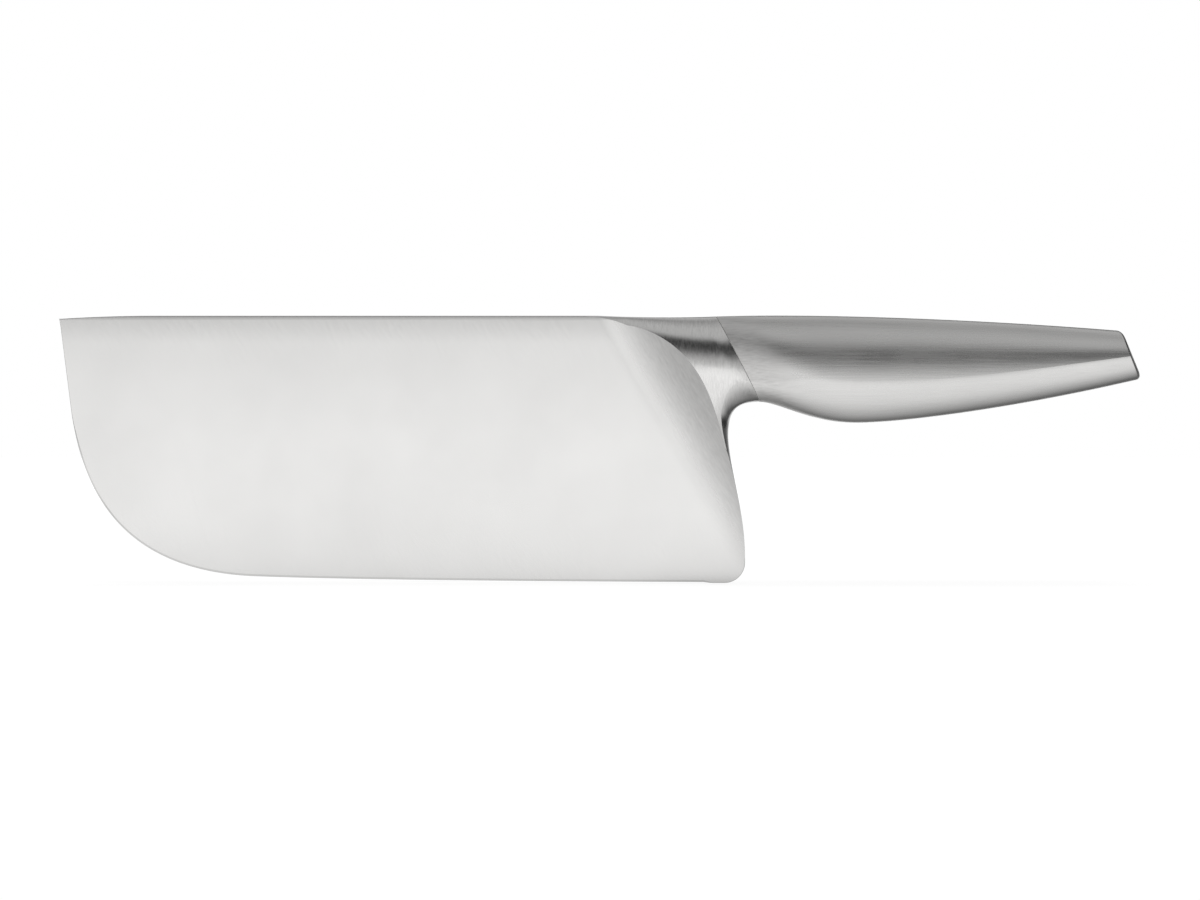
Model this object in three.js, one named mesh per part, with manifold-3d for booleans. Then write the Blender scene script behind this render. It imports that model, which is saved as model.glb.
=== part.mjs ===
// Broad kitchen knife forged in one piece with its bolster, with a hollow steel handle welded on.
// Millimetres, +Z up. The blade stands on edge in the XZ plane with its tip towards -X and its
// spine up. While it is drawn, X is 0 at the back of the heel and Z is 0 at the heel's lowest point.
import * as THREE from 'three';
import Module from 'manifold-3d';

const wasm = await Module();
wasm.setup();

// Blade
const BLADE_LENGTH = 200; // tip corner to the back of the heel
const BLADE_HEIGHT = 78; // heel to spine
const SPINE_THICKNESS = 2.6;
const EDGE_THICKNESS = 0.6; // where the flat face would meet the heel
const EDGE_LAND = 0.12; // the flat left on the cutting edge
const BEVEL_WIDTH = 0.6; // the sharpened bevel, measured across the face
const SPINE_FALL = 0.9; // drop of the spine at the tip corner
const SPINE_FALL_RUN = 28; // length over which it drops
const FRONT_LENGTH = 27.1; // straight front edge, measured upright
const FRONT_LEAN = 3.4; // how far the front edge leans back over that length
const TIP_RUN = 53.3; // rounded tip, measured along the edge
const EDGE_RISE = 2; // edge above the heel where the tip starts to round
const SHARP_STOP = 12.3; // unsharpened length in front of the heel's back
const SHARP_STEP = 0.3; // depth that sharpening takes off the edge there
const STEP_RUN = 2.8; // length of that step
const HEEL_RADIUS = 6;
const HEEL_FOOT = 7.6; // height where the back of the heel starts to lean

// Bolster, its plunge-ground front and the finger notch under it
const BOLSTER_REACH = 43; // heel's back to the bolster's start on the spine
const PLUNGE_RADIUS = 27; // wheel radius of the hollow between face and bolster
const PLUNGE_FOOT = 2.5; // plunge line's end behind the heel, at the edge's level
const BOLSTER_DIP = 0.5; // sag of the bolster's top line
const NECK_HEIGHT = 25.1; // bolster at the seam, spine level to notch roof
const NECK_WIDTH = 14.3;
const TAPER_RUN = 26; // length over which the bolster narrows towards the blade
const TAPER_LOSS = 4.15; // half width that it loses there
const TOP_DROP = 15.4; // height of the bolster's rounded top at the seam
const TOP_DROP_LOSS = 4; // how much lower the rounding gets towards the blade
const SEAM_DROP = 1.4; // how much higher it gets right at the seam
const SPINE_DROP = 3; // its height where the bolster meets the spine
const FLANK_DROP = 14.9; // depth below the spine at which the bolster's flank starts to narrow
const FLANK_EASE = 7.85; // how gently that starts
const FLANK_SLOPE = 0.027; // share of the width lost per millimetre down the flank
const FLANK_LEAST = 0.54; // least share of the width that is left
const NOTCH_DEPTH = 4.9; // deepest point in front of the heel's back
const NOTCH_ROUND = 9.9; // notch roof down to the deepest point
const NOTCH_EASE = 6.7; // rounding into the notch at the seam
const NOTCH_EASE_DEEP = 4.2; // the same at the notch's deepest point
const NOTCH_EASE_HEEL = 1.3; // the same at the heel
const NOTCH_CREASE = 0.6; // share of that rounding cut off where it meets the flank
const FAN_REACH = 34; // blank's extra length in front of the bolster
const BLADE_LAP = 0.97; // share of the fan, from the seam, that lies behind the blade

// Handle
const SEAM_SETBACK = 8.5; // seam's top in front of the heel's back
const SEAM_RUN = 12.6; // how far the seam slants back
const SEAM_DIP = 0.2; // seam's top below the spine
const HANDLE_LENGTH = 118.3; // seam to butt along the top
const BUTT_FALL = 4.4; // butt's top below the spine
const BUTT_RUN = 5.7; // how far the butt slants back
const BUTT_HEIGHT = 14;
const BUTT_WIDTH = 14.6;
const BELLY_REACH = 32.4; // belly's lowest point behind the heel's back
const BELLY_DROP = 31.2; // spine to the belly's lowest point
const BELLY_WIDTH = 19;
const WIDEST = 0.2; // share of the handle's length at which it is widest
const RIDGE_LEVEL = 0.53; // widest line at the ends of the handle, as a share of the section
const RIDGE_SAG = 0.1; // how much lower it runs half way
const RIDGE_CREASE = 0.21; // share of the crown's arc cut off at the ridge, at the butt

// Hidden parts and fits
const WALL = 1.3; // handle shells
const FIT_GAP = 0.3;
const WELD_GAP = 0.1;
const SPIGOT_LENGTH = 8; // bolster's stub inside the handle
const SPIGOT_ROOT = 2; // its start in front of the seam, inside the bolster
const TANG_LENGTH = 82; // seam to the tang's end
const TANG_HEIGHT = 9;
const TANG_THICKNESS = 5;
const WEIGHT_LENGTH = 36;
const TANG_PROUD = 4; // tang's end behind the weight
const WEIGHT_ROOM = 1.6; // clear space between weight and shells
const PIN_DIAMETER = 4;
const PIN_SUNK = 1; // pin's ends below the weight's widest sides
const CAP_THICKNESS = 1.8;
const CAP_ROUND = 1.4; // rounded rim of the butt cap
const CAP_CROWN = 1.5; // how far its rear face falls off to the sides
const PLUG_LENGTH = 3; // cap's plug inside the shells

const { clamp, lerp, smoothstep } = THREE.MathUtils;
const at = (x, z) => new THREE.Vector2(x, z);
const curve = (a, b, c, d) => new THREE.CubicBezierCurve(a, b, c, d);

// Outline points in the XZ plane
const spineStart = at(-BOLSTER_REACH, BLADE_HEIGHT);
const tipCorner = at(-BLADE_LENGTH, BLADE_HEIGHT - SPINE_FALL);
const frontFoot = at(tipCorner.x + FRONT_LEAN, tipCorner.y - FRONT_LENGTH);
const tipFoot = at(frontFoot.x + TIP_RUN, EDGE_RISE);
const edgeEnd = at(-SHARP_STOP, SHARP_STEP);
const heelBack = at(0, HEEL_FOOT);
const seamTop = at(-SEAM_SETBACK, BLADE_HEIGHT - SEAM_DIP);
const seamFoot = at(seamTop.x + SEAM_RUN, BLADE_HEIGHT - NECK_HEIGHT);
const notchDeep = at(-NOTCH_DEPTH, seamFoot.y - NOTCH_ROUND);
const buttTop = at(seamTop.x + HANDLE_LENGTH, BLADE_HEIGHT - BUTT_FALL);
const buttFoot = at(buttTop.x + BUTT_RUN, buttTop.y - BUTT_HEIGHT);
const belly = at(BELLY_REACH, BLADE_HEIGHT - BELLY_DROP);

// Outline curves. The factors say how far each end's tangent carries.
const edgeMiddle = lerp(tipFoot.x, edgeEnd.x, 0.25);
const tipCurve = curve(
  frontFoot,
  at(frontFoot.x + FRONT_LEAN, lerp(frontFoot.y, tipFoot.y, 0.525)),
  at(lerp(tipFoot.x, frontFoot.x, 0.696), tipFoot.y + 0.0285 * TIP_RUN),
  tipFoot,
);
const edgeCurve = new THREE.QuadraticBezierCurve(tipFoot, at(edgeMiddle, 0.75), edgeEnd);
const spineCurve = new THREE.QuadraticBezierCurve(
  at(tipCorner.x + SPINE_FALL_RUN, BLADE_HEIGHT),
  at(tipCorner.x + SPINE_FALL_RUN / 2, BLADE_HEIGHT),
  tipCorner,
);
const notchCurve = curve(
  seamFoot,
  at(lerp(seamFoot.x, notchDeep.x, 0.72), seamFoot.y),
  at(notchDeep.x, lerp(notchDeep.y, seamFoot.y, 0.76)),
  notchDeep,
);
const heelCurve = curve(
  notchDeep,
  at(notchDeep.x, lerp(notchDeep.y, heelBack.y, 0.226)),
  at(heelBack.x, lerp(heelBack.y, notchDeep.y, 0.395)),
  heelBack,
);
const bolsterTop = curve(
  spineStart,
  at(lerp(spineStart.x, seamTop.x, 0.29), BLADE_HEIGHT - BOLSTER_DIP),
  at(lerp(seamTop.x, spineStart.x, 0.28), seamTop.y - 0.9 * BOLSTER_DIP),
  seamTop,
);
const handleTop = curve(
  seamTop,
  at(lerp(seamTop.x, buttTop.x, 0.255), seamTop.y + 1),
  at(lerp(buttTop.x, seamTop.x, 0.34), buttTop.y + 0.75 * BUTT_FALL),
  buttTop,
);
const neckCurve = curve(
  seamFoot,
  at(lerp(seamFoot.x, belly.x, 0.21), seamFoot.y),
  at(lerp(belly.x, seamFoot.x, 0.49), belly.y),
  belly,
);
const bellyCurve = curve(
  belly,
  at(lerp(belly.x, buttFoot.x, 0.156), belly.y),
  at(lerp(buttFoot.x, belly.x, 0.453), lerp(buttFoot.y, belly.y, 0.685)),
  buttFoot,
);

// Height of a curve that runs towards +X, at a given x.
function heightOn(line, x) {
  let low = 0;
  let high = 1;
  for (let i = 0; i < 40; i += 1) {
    const middle = (low + high) / 2;
    if (line.getPoint(middle).x < x) low = middle;
    else high = middle;
  }
  return line.getPoint(low).y;
}

// One side of a section that runs from top to foot, bulging to half its width: an elliptic
// rounding down from the top that stops short of level by its crease, a flat, and an elliptic
// rounding into the foot.
function sectionSide({ top, foot, half, topRound, footRound, crease }, steps) {
  const length = top.distanceTo(foot);
  const side = [];
  const put = (depth, y) => {
    const p = top.clone().lerp(foot, depth / length);
    side.push(new THREE.Vector3(p.x, y, p.y));
  };
  for (let i = 0; i <= steps; i += 1) {
    const end = Math.acos(crease);
    const angle = (i / steps) * end;
    const depth = (topRound * (1 - Math.cos(angle))) / (1 - crease);
    put(depth, (half * Math.sin(angle)) / Math.sin(end));
  }
  if (length - topRound - footRound > 0.1) put(length - footRound, half);
  for (let i = 1; i <= steps; i += 1) {
    const angle = (i / steps) * (Math.PI / 2);
    put(length - footRound * (1 - Math.sin(angle)), half * Math.cos(angle));
  }
  side[0].y = 0;
  side[side.length - 1].y = 0;
  return side;
}

const mirrored = (p) => new THREE.Vector3(p.x, -p.y, p.z);

const bothSides = (side) => [...side, ...side.slice(1, -1).reverse().map(mirrored)];

// Closed surface through rings of equal length, with both end rings filled. Each ring lies in a
// plane y = constant or in a plane that holds the Y direction.
function loft(rings) {
  const count = rings[0].length;
  const positions = rings.flat().flatMap((p) => [p.x, p.y, p.z]);
  const index = [];
  for (let r = 0; r + 1 < rings.length; r += 1) {
    for (let i = 0; i < count; i += 1) {
      const a = r * count + i;
      const b = r * count + ((i + 1) % count);
      index.push(a, b, b + count, a, b + count, a + count);
    }
  }
  const cap = (ring, offset, flip) => {
    const level = ring.every((p) => Math.abs(p.y - ring[0].y) < 1e-9);
    const far = ring.reduce((m, p) => (p.distanceTo(ring[0]) > m.distanceTo(ring[0]) ? p : m));
    const along = at(far.x - ring[0].x, far.z - ring[0].z).normalize();
    const flat = ring.map((p) => (level ? at(p.x, p.z) : at(p.x * along.x + p.z * along.y, p.y)));
    const turned = THREE.ShapeUtils.isClockWise(flat);
    const order = flat.map((_, i) => (turned ? count - 1 - i : i));
    const faces = THREE.ShapeUtils.triangulateShape(order.map((i) => flat[i]), []);
    for (const [a, b, c] of faces) {
      const [i, j, k] = [order[a], order[b], order[c]];
      if (turned !== flip) index.push(offset + i, offset + j, offset + k);
      else index.push(offset + i, offset + k, offset + j);
    }
  };
  cap(rings[0], 0, false);
  cap(rings[rings.length - 1], (rings.length - 1) * count, true);
  return outward(positions, index);
}

// Geometry with its faces turned outward.
function outward(positions, index) {
  const p = (i) => new THREE.Vector3().fromArray(positions, 3 * i);
  let volume = 0;
  for (let i = 0; i < index.length; i += 3) {
    volume += p(index[i]).dot(p(index[i + 1]).cross(p(index[i + 2])));
  }
  const facing = volume > 0 ? index : index.map((_, i) => index[i - (i % 3) + 2 - (i % 3)]);
  const geometry = new THREE.BufferGeometry();
  geometry.setAttribute('position', new THREE.Float32BufferAttribute(positions, 3));
  geometry.setIndex(facing);
  return geometry;
}

function solid(geometry) {
  const vertProperties = new Float32Array(geometry.getAttribute('position').array);
  const triVerts = new Uint32Array(geometry.getIndex().array);
  return new wasm.Manifold(new wasm.Mesh({ numProp: 3, vertProperties, triVerts }));
}

function surface(body) {
  const { vertProperties, triVerts } = body.getMesh();
  return outward(Array.from(vertProperties), Array.from(triVerts));
}

// Flat blade face: half thickness at a height.
const faceHalf = (z) => lerp(EDGE_THICKNESS, SPINE_THICKNESS, z / BLADE_HEIGHT) / 2;
const THICK = 14; // half thickness that clears every piece

// Space left by grinding both faces: flat up to the plunge line, then curving out as a cylinder.
function groundSpace() {
  const ruling = at(PLUNGE_FOOT, 0).sub(spineStart).normalize();
  const across = at(-ruling.y, ruling.x);
  const low = -5;
  const high = BLADE_HEIGHT + 8;
  const rings = [];
  const column = (xLow, xHigh, rise) => {
    const a = new THREE.Vector3(xLow, faceHalf(low) + rise, low);
    const b = new THREE.Vector3(xHigh, faceHalf(high) + rise, high);
    rings.push([a, b, mirrored(b), mirrored(a)]);
  };
  const onRuling = (distance, z) => {
    const base = spineStart.clone().addScaledVector(across, distance);
    return base.x + ((z - base.y) / ruling.y) * ruling.x;
  };
  const start = -1.15 * BLADE_LENGTH;
  column(start, start, 0);
  const steps = 14;
  const turn = Math.acos(1 - THICK / PLUNGE_RADIUS);
  for (let i = 0; i <= steps; i += 1) {
    const angle = (i / steps) * turn;
    const distance = PLUNGE_RADIUS * Math.sin(angle);
    const rise = PLUNGE_RADIUS * (1 - Math.cos(angle));
    column(onRuling(distance, low), onRuling(distance, high), rise);
  }
  const end = onRuling(PLUNGE_RADIUS * Math.sin(turn), low) + HANDLE_LENGTH;
  column(end, end, THICK);
  return solid(loft(rings));
}

// Forged blank behind the blade: sections that fan out from the seam round the finger notch and
// down the back of the heel, from share 0 at the seam to share 1 at the foot of the heel.
function blankSection(share) {
  const fanEnd = spineStart.x - FAN_REACH;
  const x = lerp(seamTop.x, fanEnd, (share * (1 + share)) / 2);
  const top = at(x, topLine(x));
  const foot = share < 0.5 ? notchCurve.getPoint(2 * share) : heelCurve.getPoint(2 * share - 1);
  const roofEase = lerp(NOTCH_EASE, NOTCH_EASE_DEEP, smoothstep(share, 0.05, 0.4));
  const footRound = lerp(roofEase, NOTCH_EASE_HEEL, smoothstep(share, 0.38, 0.66));
  return { top, foot, footRound };
}

function topLine(x) {
  if (x < spineStart.x) return BLADE_HEIGHT;
  return x < seamTop.x ? heightOn(bolsterTop, x) : seamTop.y;
}

const bolsterTaper = (x) => clamp((seamTop.x - x) / TAPER_RUN, 0, 1);

// Height of the rounded top at x, on the section at a share of the fan.
function topDrop(x, share) {
  const toSpine = smoothstep(spineStart.x - x, -7, 5);
  const rounder = SEAM_DROP * (1 - smoothstep(share, 0, 0.12));
  return lerp(TOP_DROP - TOP_DROP_LOSS * bolsterTaper(x) + rounder, SPINE_DROP, toSpine);
}

// Rise of a quarter ellipse from 0 to 1 with its last part, the crease, cut off.
function rise(t, crease) {
  const u = 1 - clamp(t, 0, 1) * (1 - crease);
  return Math.sqrt(Math.max(0, 1 - u * u)) / Math.sqrt(1 - crease * crease);
}

// Half width of the blank at a point of a section, which lies a distance from the section's foot:
// the neck's, narrowed towards the blade and down the flank, and rounded at the top and the foot.
function blankHalf(share, p, toFoot, footRound) {
  const width = NECK_WIDTH / 2 - TAPER_LOSS * bolsterTaper(p.x) ** 1.55;
  const below = Math.max(0, BLADE_HEIGHT - FLANK_DROP - p.y);
  const flank = 1 - FLANK_SLOPE * (Math.hypot(below, FLANK_EASE) - FLANK_EASE);
  const narrowed = lerp(1, Math.max(flank, FLANK_LEAST), smoothstep(share, 0, 0.25));
  const crown = rise((topLine(p.x) - p.y) / topDrop(p.x, share), 0);
  const crease = NOTCH_CREASE * smoothstep(share, 0, 0.16);
  return width * narrowed * crown * rise(toFoot / footRound, crease);
}

function blankSide(share) {
  const { top, foot, footRound } = blankSection(share);
  const length = top.distanceTo(foot);
  const crown = Math.min((topDrop(top.x, share) * length) / (top.y - foot.y), 0.6 * length);
  const depths = [];
  for (let i = 0; i <= 6; i += 1) depths.push(crown * (1 - Math.cos((i / 12) * Math.PI)));
  for (let i = 1; i <= 3; i += 1) depths.push(lerp(crown, length - footRound, i / 4));
  for (let i = 0; i <= 4; i += 1) {
    depths.push(length - footRound * (1 - Math.sin((i / 8) * Math.PI)));
  }
  return depths.map((depth, i) => {
    const p = top.clone().lerp(foot, depth / length);
    const end = i === 0 || i === depths.length - 1;
    return new THREE.Vector3(p.x, end ? 0 : blankHalf(share, p, length - depth, footRound), p.y);
  });
}

function blank() {
  const stations = 30;
  const rings = [];
  for (let i = 0; i <= stations; i += 1) rings.push(bothSides(blankSide(i / stations)));
  return solid(loft(rings));
}

// Blade up to the fan's last section, at full thickness, with the bevel along its edge.
function bladeBlock() {
  const last = blankSection(BLADE_LAP);
  const tip = tipCurve.getPoints(18);
  const edge = edgeCurve.getPoints(7);
  const heelCentre = at(heelBack.x - HEEL_RADIUS, HEEL_RADIUS);
  const outline = [];
  const inset = [];
  const put = (p, amount) => {
    outline.push(p);
    inset.push(amount);
  };
  put(last.top, 0);
  for (const p of spineCurve.getPoints(3)) put(p, 0);
  tip.forEach((p, i) => put(p, BEVEL_WIDTH * smoothstep(i / 18, 0, 0.25)));
  edge.slice(1).forEach((p) => put(p, BEVEL_WIDTH));
  put(at(edgeEnd.x + STEP_RUN, 0), 0);
  for (let i = 0; i <= 7; i += 1) {
    const angle = ((i / 7 - 1) * Math.PI) / 2;
    put(at(heelCentre.x + HEEL_RADIUS * Math.cos(angle), HEEL_RADIUS * (1 + Math.sin(angle))), 0);
  }
  put(heelBack, 0);
  put(last.foot, 0);
  const count = outline.length;
  const inner = outline.map((p, i) => {
    const before = outline[(i + count - 1) % count];
    const after = outline[(i + 1) % count];
    const along = after.clone().sub(before).normalize();
    return p.clone().add(at(-along.y, along.x).multiplyScalar(inset[i]));
  });
  const ring = (points, y) => points.map((p) => new THREE.Vector3(p.x, y(p), p.y));
  const shoulder = (p) => faceHalf(p.y) + 0.02;
  const rings = [
    ring(inner, () => -THICK),
    ring(inner, (p) => -shoulder(p)),
    ring(outline, () => -EDGE_LAND / 2),
    ring(outline, () => EDGE_LAND / 2),
    ring(inner, shoulder),
    ring(inner, () => THICK),
  ];
  return solid(loft(rings));
}

const seamSlant = seamTop.distanceTo(seamFoot) / (seamTop.y - seamFoot.y);

// Handle section at a share of the way from the seam to the butt, drawn in by an inset.
function handleSection(share, inset) {
  const topX = lerp(seamTop.x, buttTop.x, share);
  const footX = lerp(seamFoot.x, buttFoot.x, share);
  const top = at(topX, heightOn(handleTop, topX));
  const foot = at(footX, heightOn(footX < belly.x ? neckCurve : bellyCurve, footX));
  const length = top.distanceTo(foot);
  const short = clamp(1 - share / WIDEST, 0, 1);
  const past = clamp((share - WIDEST) / (1 - WIDEST), 0, 1);
  const width = lerp(lerp(BELLY_WIDTH, NECK_WIDTH, short ** 2), BUTT_WIDTH, past ** 1.6);
  const ridge = RIDGE_LEVEL + RIDGE_SAG * 4 * share * (1 - share);
  const blend = smoothstep(share, 0, 0.2);
  const shrink = (length - 2 * inset) / length;
  const along = foot.clone().sub(top).normalize();
  return {
    top: top.addScaledVector(along, inset),
    foot: foot.addScaledVector(along, -inset),
    half: width / 2 - inset,
    topRound: lerp((TOP_DROP + SEAM_DROP) * seamSlant, ridge * length, blend) * shrink,
    footRound: lerp(NOTCH_EASE, (1 - ridge) * length, blend) * shrink,
    crease: RIDGE_CREASE * clamp((share - 0.4) / 0.6, 0, 1) ** 1.2,
  };
}

const shareOf = (distance) => distance / HANDLE_LENGTH;
const capFront = HANDLE_LENGTH - CAP_THICKNESS;

// One half of the handle's skin, split on the plane y = 0.
function handleShell(sign) {
  const start = shareOf(WELD_GAP);
  const end = shareOf(capFront - WELD_GAP);
  const stations = 18;
  const rings = [];
  for (let i = 0; i <= stations; i += 1) {
    const share = lerp(start, end, i / stations);
    const outer = evenSide(handleSection(share, 0));
    const inner = evenSide(handleSection(share, WALL));
    const ring = [...outer, ...inner.reverse()];
    rings.push(ring.map((p) => new THREE.Vector3(p.x, sign * p.y, p.z)));
  }
  return loft(rings);
}

// A section side that always has the same number of points, whether or not it has a flat.
function evenSide(section) {
  const length = section.top.distanceTo(section.foot);
  const flat = length - section.topRound - section.footRound;
  const footRound = flat > 0.1 ? section.footRound : length - section.topRound - 0.11;
  return sectionSide({ ...section, footRound }, 6);
}

const evenRing = (section) => bothSides(evenSide(section));

const middleOf = (share) => {
  const { top, foot } = handleSection(share, 0);
  return top.clone().lerp(foot, 0.5);
};

// Flat bar along the middle of the handle, between two distances from the seam.
const tangRoot = middleOf(shareOf(SPIGOT_LENGTH / 2));
const tangTip = middleOf(shareOf(TANG_LENGTH));
function bar(grow, overrun) {
  const along = tangTip.clone().sub(tangRoot);
  const length = along.length() + overrun;
  const turned = new THREE.BoxGeometry(length, TANG_THICKNESS + 2 * grow, TANG_HEIGHT + 2 * grow);
  turned.translate(length / 2, 0, 0);
  turned.rotateY(-Math.atan2(along.y, along.x));
  turned.translate(tangRoot.x, 0, tangRoot.y);
  return solid(welded(turned));
}

// Geometry with only positions, its shared corners merged.
function welded(geometry) {
  const source = geometry.toNonIndexed().getAttribute('position');
  const seen = new Map();
  const positions = [];
  const index = [];
  for (let i = 0; i < source.count; i += 1) {
    const p = [source.getX(i), source.getY(i), source.getZ(i)];
    const key = p.map((v) => Math.round(v * 1e4)).join();
    if (!seen.has(key)) {
      seen.set(key, positions.length / 3);
      positions.push(...p);
    }
    index.push(seen.get(key));
  }
  return outward(positions, index);
}

const weightStart = TANG_LENGTH - TANG_PROUD - WEIGHT_LENGTH;
const pinSpot = middleOf(shareOf(weightStart + WEIGHT_LENGTH / 2));
const weightHalf = BELLY_WIDTH / 2 - WALL - WEIGHT_ROOM;
function crossPin(grow, length) {
  const rod = new THREE.CylinderGeometry(
    PIN_DIAMETER / 2 + grow,
    PIN_DIAMETER / 2 + grow,
    length,
    20,
  );
  rod.translate(pinSpot.x, 0, pinSpot.y);
  return welded(rod);
}

function forgedBlade() {
  const spigot = [];
  for (let i = 0; i <= 3; i += 1) {
    const distance = lerp(-SPIGOT_ROOT, SPIGOT_LENGTH, i / 3);
    spigot.push(evenRing(handleSection(shareOf(distance), WALL + FIT_GAP)));
  }
  const body = blank().add(bladeBlock()).intersect(groundSpace());
  return surface(
    body
      .add(solid(loft(spigot)))
      .add(bar(0, 0))
      .subtract(solid(crossPin(FIT_GAP, 4 * weightHalf))),
  );
}

function balanceWeight() {
  const rings = [];
  for (let i = 0; i <= 6; i += 1) {
    const distance = weightStart + (WEIGHT_LENGTH * i) / 6;
    rings.push(evenRing(handleSection(shareOf(distance), WALL + WEIGHT_ROOM)));
  }
  return surface(
    solid(loft(rings))
      .subtract(bar(FIT_GAP, FIT_GAP + TANG_LENGTH))
      .subtract(solid(crossPin(FIT_GAP, 4 * weightHalf))),
  );
}

// Plate that closes the butt, with a plug inside the shells, a rounded rim and a rear face that is
// crowned across its width.
function buttCap() {
  const plugInset = WALL + FIT_GAP;
  const rings = [
    evenRing(handleSection(shareOf(capFront - PLUG_LENGTH), plugInset)),
    evenRing(handleSection(shareOf(capFront), plugInset)),
    evenRing(handleSection(shareOf(capFront), 0)),
  ];
  const crowned = (ring, reached, narrowing) =>
    ring.map((p) => {
      const y = p.y * narrowing;
      return new THREE.Vector3(p.x - reached * CAP_CROWN * ((2 * y) / BUTT_WIDTH) ** 2, y, p.z);
    });
  for (let i = 0; i <= 3; i += 1) {
    const angle = ((i / 3) * Math.PI) / 2;
    const distance = HANDLE_LENGTH - CAP_ROUND * (1 - Math.sin(angle));
    const ring = evenRing(handleSection(shareOf(distance), CAP_ROUND * (1 - Math.cos(angle))));
    rings.push(crowned(ring, (distance - capFront) / CAP_THICKNESS, 1));
  }
  const rear = evenRing(handleSection(1, CAP_ROUND));
  const rearSteps = 3;
  for (let i = 1; i <= rearSteps; i += 1) {
    rings.push(crowned(rear, 1, 1 - i / (rearSteps + 0.3)));
  }
  return loft(rings);
}

const pieces = {
  forged_blade: { geometry: forgedBlade(), color: 0xc9c8c5, roughness: 0.3 },
  handle_shell_left: { geometry: handleShell(1), color: 0xbfbebb, roughness: 0.36 },
  handle_shell_right: { geometry: handleShell(-1), color: 0xbfbebb, roughness: 0.36 },
  butt_cap: { geometry: buttCap(), color: 0xbcbbb8, roughness: 0.36 },
  balance_weight: { geometry: balanceWeight(), color: 0x8f8d89, roughness: 0.55 },
  weight_pin: { geometry: crossPin(0, 2 * (weightHalf - PIN_SUNK)), color: 0xa9a8a5, roughness: 0.4 },
};

const knife = new THREE.Group();
for (const [name, { geometry, color, roughness }] of Object.entries(pieces)) {
  const material = new THREE.MeshStandardMaterial({ color, roughness, metalness: 1 });
  const mesh = new THREE.Mesh(geometry, material);
  mesh.name = name;
  knife.add(mesh);
}

// The part's origin is under the middle of its length, at the height of the heel.
const extent = new THREE.Box3().setFromObject(knife);
knife.position.x = -(extent.min.x + extent.max.x) / 2;

export default knife;
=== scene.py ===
"""Broad kitchen knife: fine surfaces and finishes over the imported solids.

Shapes are worked out in millimetres with X = 0 at the back of the heel and Z = 0 at the heel's
lowest point, and put into the frame in metres. Every surface is made for the side y >= 0 and
mirrored.
"""

import math

import bpy
import numpy as np
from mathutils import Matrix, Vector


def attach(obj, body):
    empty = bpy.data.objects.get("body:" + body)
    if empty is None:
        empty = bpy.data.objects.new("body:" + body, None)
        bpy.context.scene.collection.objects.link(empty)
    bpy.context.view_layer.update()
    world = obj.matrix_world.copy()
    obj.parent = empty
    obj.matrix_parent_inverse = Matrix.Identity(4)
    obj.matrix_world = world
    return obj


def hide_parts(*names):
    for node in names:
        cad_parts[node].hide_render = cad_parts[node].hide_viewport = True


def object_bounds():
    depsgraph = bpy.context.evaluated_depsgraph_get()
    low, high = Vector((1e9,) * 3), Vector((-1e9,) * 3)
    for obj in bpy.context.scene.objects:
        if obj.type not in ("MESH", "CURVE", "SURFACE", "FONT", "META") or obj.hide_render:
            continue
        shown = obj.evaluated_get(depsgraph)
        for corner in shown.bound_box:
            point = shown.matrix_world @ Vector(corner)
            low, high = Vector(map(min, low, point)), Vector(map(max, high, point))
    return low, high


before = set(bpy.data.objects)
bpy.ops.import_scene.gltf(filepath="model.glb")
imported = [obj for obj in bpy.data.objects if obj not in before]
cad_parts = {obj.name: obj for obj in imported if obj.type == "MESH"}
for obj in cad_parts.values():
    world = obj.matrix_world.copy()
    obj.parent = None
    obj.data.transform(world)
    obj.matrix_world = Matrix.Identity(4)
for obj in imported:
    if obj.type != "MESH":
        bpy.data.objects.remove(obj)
cad_low, cad_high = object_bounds()

# Sizes, in millimetres, and shares of them
BLADE_LENGTH = 200.0
BLADE_HEIGHT = 78.0
SPINE_THICKNESS = 2.6
SPINE_ROLL = 0.09
SPINE_ROLL_RUN = 8.0
SPINE_EASE = 0.06
SPINE_EASE_RUN = 1.3
EDGE_THICKNESS = 0.6
EDGE_LAND = 0.12
BEVEL_WIDTH = 0.6
SPINE_FALL = 0.9
SPINE_FALL_RUN = 28.0
FRONT_LENGTH = 27.1
FRONT_LEAN = 3.4
TIP_RUN = 53.3
EDGE_RISE = 2.0
SHARP_STOP = 12.3
SHARP_STEP = 0.3
STEP_RUN = 2.8
EDGE_BOW = 0.75
HEEL_RADIUS = 6.0
HEEL_FOOT = 7.6
ARRIS = 0.2
ARRIS_MOST = 0.4
CROWN_MOST = 0.3

BOLSTER_REACH = 43.0
PLUNGE_RADIUS = 27.0
PLUNGE_FOOT = 2.5
HOLLOW_MOST = 0.999
BOLSTER_DIP = 0.5
NECK_HEIGHT = 25.1
NECK_WIDTH = 14.3
TAPER_RUN = 26.0
TAPER_LOSS = 4.15
TOP_DROP = 15.4
TOP_DROP_LOSS = 4.0
SEAM_DROP = 1.4
SPINE_DROP = 3.0
FLANK_DROP = 14.9
FLANK_EASE = 7.85
FLANK_SLOPE = 0.027
FLANK_LEAST = 0.54
NOTCH_DEPTH = 4.9
NOTCH_ROUND = 9.9
NOTCH_EASE = 6.7
NOTCH_EASE_DEEP = 4.2
NOTCH_EASE_HEEL = 1.3
NOTCH_CREASE = 0.6
FAN_REACH = 34.0

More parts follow.
